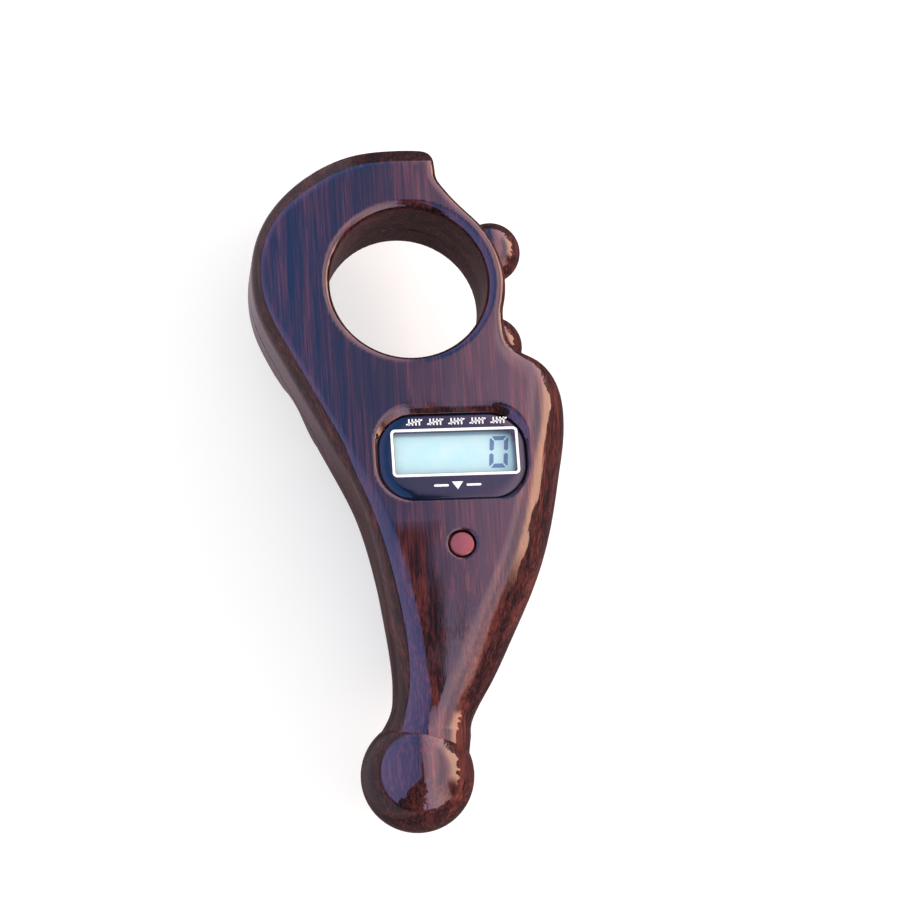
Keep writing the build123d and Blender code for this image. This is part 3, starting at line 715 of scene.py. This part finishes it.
# ---------- node materials ----------
class Nodes:
    """A short way to write a node tree: each call adds a node and returns the socket that it gives."""

    def __init__(self, tree):
        self.tree = tree
        tree.nodes.clear()

    def add(self, kind, **settings):
        node = self.tree.nodes.new(kind)
        for key, value in settings.items():
            setattr(node, key, value)
        return node

    def put(self, value, socket):
        if isinstance(value, bpy.types.NodeSocket):
            self.tree.links.new(value, socket)
        elif value is not None:
            socket.default_value = value

    def math(self, operation, a, b=None, clamp=False):
        node = self.add("ShaderNodeMath", operation=operation, use_clamp=clamp)
        self.put(a, node.inputs[0])
        self.put(b, node.inputs[1])
        return node.outputs[0]

    def between(self, value, low, high):
        """0 below low, 1 above high, smooth in between."""
        node = self.add("ShaderNodeMapRange", interpolation_type="SMOOTHSTEP")
        for socket, part in zip(("Value", "From Min", "From Max"), (value, low, high)):
            self.put(part, node.inputs[socket])
        return node.outputs[0]

    def mix(self, share, a, b, blend="MIX"):
        node = self.add("ShaderNodeMix", data_type="RGBA", blend_type=blend)
        self.put(share, node.inputs[0])
        self.put(a, node.inputs[6])
        self.put(b, node.inputs[7])
        return node.outputs[2]

    def ramp(self, value, *stops):
        node = self.add("ShaderNodeValToRGB")
        elements = node.color_ramp.elements
        while len(elements) < len(stops):
            elements.new(0.5)
        for element, (place, colour) in zip(elements, stops):
            element.position = place
            element.color = (*colour, 1)
        self.put(value, node.inputs[0])
        return node.outputs[0]

    def place(self, scale, turn=(0, 0, 0)):
        """The object's own coordinates in millimetres times the scale along each axis."""
        where = self.add("ShaderNodeTexCoord").outputs["Object"]
        mapping = self.add("ShaderNodeMapping")
        self.put(where, mapping.inputs["Vector"])
        mapping.inputs["Scale"].default_value = [1000 * k for k in scale]
        mapping.inputs["Rotation"].default_value = turn
        return mapping.outputs[0]

    def noise(self, vector, detail=4.0, roughness=0.55, distortion=0.0):
        node = self.add("ShaderNodeTexNoise")
        self.put(vector, node.inputs["Vector"])
        node.inputs["Scale"].default_value = 1.0
        node.inputs["Detail"].default_value = detail
        node.inputs["Roughness"].default_value = roughness
        node.inputs["Distortion"].default_value = distortion
        return node.outputs["Fac"]

    def bump(self, height, strength, distance, normal=None):
        node = self.add("ShaderNodeBump")
        self.put(normal, node.inputs["Normal"])
        node.inputs["Strength"].default_value = strength
        node.inputs["Distance"].default_value = distance * MM
        self.put(height, node.inputs["Height"])
        return node.outputs[0]

    def split(self, vector):
        """The vector's x, y and z."""
        node = self.add("ShaderNodeSeparateXYZ")
        self.put(vector, node.inputs[0])
        return node.outputs

    def by_ray(self, soft, mirrored):
        """One shader for soft light and another for what shiny surfaces mirror."""
        node = self.add("ShaderNodeMixShader")
        self.put(self.add("ShaderNodeLightPath").outputs["Is Glossy Ray"], node.inputs[0])
        self.put(soft, node.inputs[1])
        self.put(mirrored, node.inputs[2])
        return node.outputs[0]

    def surface(self, **inputs):
        """The final shader, with its sockets given by name; underscores stand for spaces."""
        node = self.add("ShaderNodeBsdfPrincipled")
        for key, value in inputs.items():
            self.put(value, node.inputs[key.replace("_", " ")])
        output = self.add("ShaderNodeOutputMaterial")
        self.put(node.outputs[0], output.inputs[0])


def new_material(name):
    material = bpy.data.materials.new(name)
    material.use_nodes = True
    return material, Nodes(material.node_tree)


def rosewood():
    """Dark rosewood print with long grain streaks under a thick clear lacquer."""
    material, n = new_material("rosewood_lacquer")
    bands = n.noise(n.place((0.34, 0.014, 0.34)), 2.0, 0.5, 0.8)
    fibres = n.noise(n.place((3.0, 0.07, 2.4)), 4.0, 0.65, 0.4)
    pores = n.noise(n.place((4.4, 0.16, 3.6)), 2.0, 0.6)
    tone = n.math("ADD", n.math("MULTIPLY", bands, 0.40), n.math("MULTIPLY", fibres, 0.60))
    wood = n.ramp(tone, (0.38, (0.004, 0.002, 0.003)), (0.47, (0.018, 0.005, 0.006)),
                  (0.54, (0.048, 0.011, 0.010)), (0.64, (0.108, 0.026, 0.021)))
    wood = n.mix(n.math("MULTIPLY", n.between(pores, 0.53, 0.66), 0.7), wood, (0.004, 0.002, 0.004, 1))
    wave = n.noise(n.place((0.16, 0.08, 0.16)), 1.0)
    lacquer = n.bump(fibres, 0.5, 0.004, n.bump(wave, 0.2, 0.25))
    n.surface(Base_Color=wood, Roughness=0.42, Specular_IOR_Level=0.1, Coat_Weight=1.0,
              Coat_Roughness=0.03, Coat_IOR=1.55, Coat_Normal=lacquer)
    return material


def display_film():
    """Pale blue-green film, faintly mottled, darker where the window's edge shades it."""
    material, n = new_material("display_film")
    spots = n.noise(n.place((0.5, 0.5, 0.5)), 3.0)
    face = n.ramp(spots, (0.3, (0.42, 0.72, 0.80)), (0.7, (0.52, 0.74, 0.79)))
    x, y = n.split(n.place((1, 1, 1)))[:2]
    right, top = WINDOW[0] + WINDOW[2] / 2, WINDOW[1] + WINDOW[3] / 2
    shade = n.math("MAXIMUM", n.between(y, top - 0.6, top - 0.1), n.between(x, right - 0.7, right - 0.1))
    face = n.mix(n.math("MULTIPLY", shade, 0.8), face, (0.20, 0.30, 0.46, 1))
    n.surface(Base_Color=face, Roughness=0.25, Specular_IOR_Level=0.4)
    return material


def plain_material(name, colour, variation=0.15, roughness=0.5, grain=3.0, relief=0.01, **more):
    """Moulded or metal surface with slight unevenness of colour and relief."""
    material, n = new_material(name)
    spots = n.noise(n.place((grain, grain, grain)), 4.0)
    dark = tuple(c * (1 - variation) for c in colour)
    light = tuple(min(1.0, c * (1 + variation)) for c in colour)
    tone = n.ramp(spots, (0.3, dark), (0.7, light))
    rough = n.math("ADD", roughness - 0.04, n.math("MULTIPLY", spots, 0.08))
    n.surface(Base_Color=tone, Roughness=rough, Normal=n.bump(spots, 0.3, relief), **more)
    return material


# ---------- the pieces, over grids that are finer where edges are small ----------
GRID_X = grid_lines((-24.6, -8.0, 0.5), (-8.0, 18.4, 0.3), (18.4, 24.2, 0.5))
GRID_Y = grid_lines((-44.5, -34.5, 0.25), (-34.5, -15.5, 0.5), (-15.5, 12.0, 0.3), (12.0, 53.4, 0.45))
FRONT_GRID_Z = grid_lines((13.1, 14.0, 0.15), (14.0, 20.4, 0.55), (20.4, 23.6, 0.2))
REAR_GRID_Z = grid_lines((-0.6, 3.0, 0.3), (3.0, 12.9, 0.55), (12.9, 13.9, 0.15))
BALL_GRID_X = grid_lines((-11.2, 6.6, 0.45))
BALL_GRID_Y = grid_lines((-53.0, -36.0, 0.45), (-36.0, -32.7, 0.2))
BALL_GRID_Z = grid_lines((2.6, 20.4, 0.45))
DOOR_GRID_X = grid_lines((-3.4, 13.4, 0.22))
DOOR_GRID_Y = grid_lines((-7.7, 6.7, 0.22))
DOOR_GRID_Z = grid_lines((0.0, 1.6, 0.16), (1.6, 2.9, 0.13))

front = from_field("front_case", front_field, GRID_X, GRID_Y, FRONT_GRID_Z)
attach(front, "case")
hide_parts("front_shell")
rear = from_field("rear_case", rear_field, GRID_X, GRID_Y, REAR_GRID_Z)
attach(rear, "case")
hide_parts("rear_shell")

ball = from_field("end_ball_lacquered", ball_field, BALL_GRID_X, BALL_GRID_Y, BALL_GRID_Z)
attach(ball, "case")
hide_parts("end_ball")
door = from_field("battery_cap", door_field, DOOR_GRID_X, DOOR_GRID_Y, DOOR_GRID_Z)
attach(door, "door")
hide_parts("battery_door")
panel = display_panel()
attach(panel, "case")
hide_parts("display_bezel")
reset = reset_cap()
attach(reset, "reset")
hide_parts("reset_button")
line = window_line()
marks = panel_marks()
digit = digit_zero()
for piece, slot in ((line, "frame_white"), (marks, "frame_white"), (digit, "panel_black")):
    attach(piece, "case")

# material, then the pieces and CAD nodes that wear it
PLAIN_WHITE = (0.80, 0.80, 0.78)
FINISHES = [
    (rosewood(), [front, rear, ball, door, "count_up_button", "count_down_button"]),
    (plain_material("panel_gloss", (0.005, 0.011, 0.030), 0.3, 0.06, 0.4), [panel]),
    (plain_material("white_print", (0.86, 0.90, 0.92), 0.03, 0.4), [line, marks]),
    (plain_material("digit_grey", (0.11, 0.19, 0.36), 0.08, 0.4, 1.0), [digit]),
    (plain_material("reset_satin", (0.21, 0.047, 0.057), 0.12, 0.42, 2.0, 0.004), [reset]),
    (display_film(), ["lcd_front_polarizer"]),
    (plain_material("display_glass", (0.70, 0.86, 0.86), 0.04, 0.06, 1.0, Transmission_Weight=0.5),
     ["lcd_front_glass", "lcd_rear_glass"]),
    (plain_material("reflector_foil", (0.62, 0.66, 0.66), 0.08, 0.35, 6.0, 0.004, Metallic=1.0),
     ["lcd_reflector"]),
    (plain_material("white_plastic", PLAIN_WHITE, 0.05, 0.5, 1.5), ["lcd_holder", "flex_connector"]),
    (plain_material("plunger_plastic", PLAIN_WHITE, 0.06, 0.35, 4.0),
     ["reset_switch_plunger", "count_up_plunger", "count_down_plunger"]),
    (plain_material("pink_elastomer", (0.70, 0.26, 0.36), 0.25, 0.7, 8.0),
     ["upper_zebra_strip", "lower_zebra_strip"]),
    (plain_material("solder_mask", (0.015, 0.13, 0.05), 0.2, 0.3, 1.2), ["main_board"]),
    (plain_material("black_epoxy", (0.012, 0.012, 0.013), 0.3, 0.4, 2.0, 0.02), ["chip_blob"]),
    (plain_material("resistor_black", (0.015, 0.014, 0.014), 0.3, 0.45, 5.0), ["timing_resistor"]),
    (plain_material("capacitor_tan", (0.30, 0.20, 0.11), 0.12, 0.5, 5.0), ["bypass_capacitor"]),
    (plain_material("switch_plastic", (0.02, 0.02, 0.021), 0.25, 0.5, 4.0),
     ["reset_switch_body", "count_up_switch", "count_down_switch"]),
    (plain_material("amber_film", (0.42, 0.16, 0.02), 0.15, 0.25, 1.5), ["side_flex"]),
    (plain_material("nickel", (0.62, 0.61, 0.58), 0.08, 0.28, 3.0, 0.004, Metallic=1.0),
     ["battery_cell"]),
    (plain_material("holder_plastic", (0.03, 0.03, 0.031), 0.25, 0.5, 2.0), ["battery_holder"]),
    (plain_material("spring_brass", (0.60, 0.42, 0.16), 0.12, 0.3, 2.0, 0.004, Metallic=1.0),
     ["positive_contact", "negative_contact"]),
    (plain_material("screw_zinc", (0.42, 0.42, 0.43), 0.15, 0.32, 4.0, 0.006, Metallic=1.0),
     ["case_screws", "board_screws"]),
]
for material, wearers in FINISHES:
    for wearer in wearers:
        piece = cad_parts[wearer] if isinstance(wearer, str) else wearer
        piece.data.materials.clear()
        piece.data.materials.append(material)


# ---------- camera, stage and light ----------
CAMERA_TURN = (3.86, -16.76, 7.28)     # degrees about z, x and y, in that order
CAMERA_DISTANCE = 450                  # from the middle of the face
CAMERA_LENS = 120.8
CAMERA_SHIFT = (0.031, 0.021)
FLOOR_Z = -0.03
FLOOR_GLOW = 0.5
LIGHT_PLACE = (0.42, -0.06, 0.14)      # in metres
LIGHT_SIZE = (0.5, 0.3)
LIGHT_POWER = 4.2
LIGHT_COLOUR = (1.0, 0.76, 0.66)
SOFT_WHITE = (1.0, 1.0, 1.0, 1)
HORIZON_DARK = (0.004, 0.002, 0.002, 1)
HORIZON_FAR = (0.055, 0.045, 0.042, 1)
SKY_GAIN = 10.0                        # the sky's colours below are a tenth of their brightness
# The sky from left to right: place from 0 to 1, colour
UPPER_SKY = [(0.0, (0.12, 0.12, 0.28)), (0.35, (0.08, 0.095, 0.24)), (0.49, (0.01, 0.065, 0.19)),
             (0.53, (0.035, 0.06, 0.15)), (0.55, (0.085, 0.08, 0.16)), (0.588, (0.25, 0.16, 0.24)),
             (0.65, (0.34, 0.22, 0.29)), (0.76, (0.42, 0.27, 0.32)), (0.84, (0.54, 0.34, 0.33)),
             (0.90, (0.84, 0.50, 0.39)), (0.97, (0.88, 0.49, 0.35))]
LOWER_SKY = [(0.0, (0.12, 0.12, 0.28)), (0.35, (0.08, 0.09, 0.24)), (0.48, (0.05, 0.07, 0.19)),
             (0.55, (0.20, 0.16, 0.25)), (0.63, (0.30, 0.22, 0.29)), (0.80, (0.42, 0.28, 0.30)),
             (0.90, (0.30, 0.16, 0.14)), (0.93, (0.02, 0.008, 0.008))]
HIGH_SKY = (0.22, 0.17, 0.22, 1)       # what the sky's bright right side fades to higher up
FLOOR_MIRRORED_LEFT = (0.42, 0.34, 0.39, 1)
FLOOR_MIRRORED_RIGHT = (0.12, 0.08, 0.085, 1)
FLOOR_CHANGE_X = (-28.0, -12.0)
# A dark shape in the sky that the handle mirrors, in directions x and y
FIGURE_X, FIGURE_HALF_WIDTH = 0.078, 0.02
FIGURE_FOOT_Y, FIGURE_WAIST_Y, FIGURE_HEAD_Y = -0.25, 0.1, (0.22, 0.27)
FIGURE_LEAN, FIGURE_SPREAD, FIGURE_RAGGED = 0.5, 0.55, 1.8


def add_camera():
    """The photograph's viewing angle: 450 mm from the face, tilted towards the handle and the left."""
    turn = Matrix.Identity(3)
    for angle, axis in zip(CAMERA_TURN, "ZXY"):
        turn = turn @ Matrix.Rotation(math.radians(angle), 3, axis)
    data = bpy.data.cameras.new("camera")
    data.sensor_width = 36.0
    data.lens = CAMERA_LENS
    data.shift_x, data.shift_y = CAMERA_SHIFT
    data.clip_start = 0.01
    camera = bpy.data.objects.new("camera", data)
    bpy.context.scene.collection.objects.link(camera)
    place = turn.transposed() @ Vector((0, 0, CAMERA_DISTANCE * MM)) + Vector((0, 0, FRONT_Z * MM))
    camera.matrix_world = Matrix.Translation(place) @ turn.transposed().to_4x4()
    bpy.context.scene.camera = camera


def add_floor():
    """Plain pale floor that the counter lies on, dimmer where the lacquer mirrors it."""
    corners = [(-3000, -3000), (3000, -3000), (3000, 3000), (-3000, 3000)]
    floor = mesh_object("floor", [(x, y, FLOOR_Z) for x, y in corners], [(0, 1, 2, 3)])
    material, n = new_material("floor_paint")
    paint = n.add("ShaderNodeBsdfPrincipled")
    tone = n.noise(n.place((0.02, 0.02, 0.02)))
    n.put(n.ramp(tone, (0.3, (0.55, 0.55, 0.55)), (0.7, (0.57, 0.57, 0.57))), paint.inputs["Base Color"])
    paint.inputs["Roughness"].default_value = 0.9
    paint.inputs["Emission Color"].default_value = SOFT_WHITE
    paint.inputs["Emission Strength"].default_value = FLOOR_GLOW
    dim = n.add("ShaderNodeEmission")
    right = n.between(n.split(n.place((1, 1, 1)))[0], *FLOOR_CHANGE_X)
    n.put(n.mix(right, FLOOR_MIRRORED_LEFT, FLOOR_MIRRORED_RIGHT), dim.inputs[0])
    n.put(n.by_ray(paint.outputs[0], dim.outputs[0]), n.add("ShaderNodeOutputMaterial").inputs[0])
    floor.data.materials.append(material)


def add_side_light():
    """Wide warm light low on the right, which the lacquer does not mirror."""
    data = bpy.data.lights.new("side_light", "AREA")
    data.shape = "RECTANGLE"
    data.size, data.size_y = LIGHT_SIZE
    data.energy = LIGHT_POWER
    data.color = LIGHT_COLOUR
    light = bpy.data.objects.new("side_light", data)
    bpy.context.scene.collection.objects.link(light)
    light.location = LIGHT_PLACE
    light.rotation_euler = (-Vector(LIGHT_PLACE)).to_track_quat("-Z", "Y").to_euler()
    light.visible_glossy = False


def dark_figure(n, x, y, ragged):
    """Share of a dark upright shape in the sky over the handle: narrow at the top, wide at its foot."""
    foot = n.math("MAXIMUM", n.math("SUBTRACT", FIGURE_FOOT_Y, y), 0.0)
    waist = n.math("MAXIMUM", n.math("SUBTRACT", FIGURE_WAIST_Y, y), 0.0)
    middle = n.math("SUBTRACT", FIGURE_X, n.math("MULTIPLY", foot, FIGURE_LEAN))
    half = n.math("ADD", n.math("MULTIPLY", foot, FIGURE_SPREAD), FIGURE_HALF_WIDTH)
    half = n.math("ADD", half, n.math("MULTIPLY", waist, 0.05))
    off = n.math("SUBTRACT", n.math("ABSOLUTE", n.math("SUBTRACT", x, middle)), half)
    off = n.math("ADD", off, n.math("MULTIPLY", ragged, n.math("MULTIPLY", foot, FIGURE_RAGGED)))
    beside = n.between(off, 0.0, 0.02)
    above = n.between(y, *FIGURE_HEAD_Y)
    return n.math("SUBTRACT", 1.0, n.math("MAXIMUM", beside, above))


def evening_sky(n):
    """Colour of the sky for every direction: dusk on the left, warm on the right, a dark uneven horizon."""
    direction = n.add("ShaderNodeTexCoord").outputs["Generated"]
    x, y, z = n.split(direction)
    spread = n.add("ShaderNodeMapping")
    n.put(direction, spread.inputs["Vector"])
    spread.inputs["Scale"].default_value = (7.0, 7.0, 2.0)
    ragged = n.math("SUBTRACT", n.noise(spread.outputs[0], 3.0), 0.5)
    across = n.math("ADD", n.math("MULTIPLY", x, 0.5), 0.5)
    sky = n.mix(n.between(y, -0.35, -0.05), n.ramp(across, *LOWER_SKY), n.ramp(across, *UPPER_SKY))
    high = n.math("MULTIPLY", n.between(z, 0.30, 0.60), n.between(x, 0.45, 0.65))
    sky = n.mix(high, sky, HIGH_SKY)
    sky = n.mix(dark_figure(n, x, y, ragged), sky, HORIZON_DARK)
    skyline = n.math("ADD", z, n.math("MULTIPLY", ragged, n.between(x, 0.3, 0.7)))
    horizon = n.mix(n.between(y, 0.3, 0.7), HORIZON_DARK, HORIZON_FAR)
    return n.mix(n.between(skyline, 0.05, 0.12), horizon, sky)


def add_world():
    """Soft white light all round; shiny surfaces mirror an evening sky over a dark, uneven horizon."""
    world = bpy.data.worlds.new("world")
    bpy.context.scene.world = world
    world.use_nodes = True
    n = Nodes(world.node_tree)
    mirrored = n.add("ShaderNodeBackground")
    n.put(evening_sky(n), mirrored.inputs[0])
    mirrored.inputs[1].default_value = SKY_GAIN
    soft = n.add("ShaderNodeBackground")
    n.put(SOFT_WHITE, soft.inputs[0])
    n.put(n.by_ray(soft.outputs[0], mirrored.outputs[0]), n.add("ShaderNodeOutputWorld").inputs[0])


add_camera()
add_floor()
add_side_light()
add_world()
bpy.context.scene.view_settings.view_transform = "Standard"
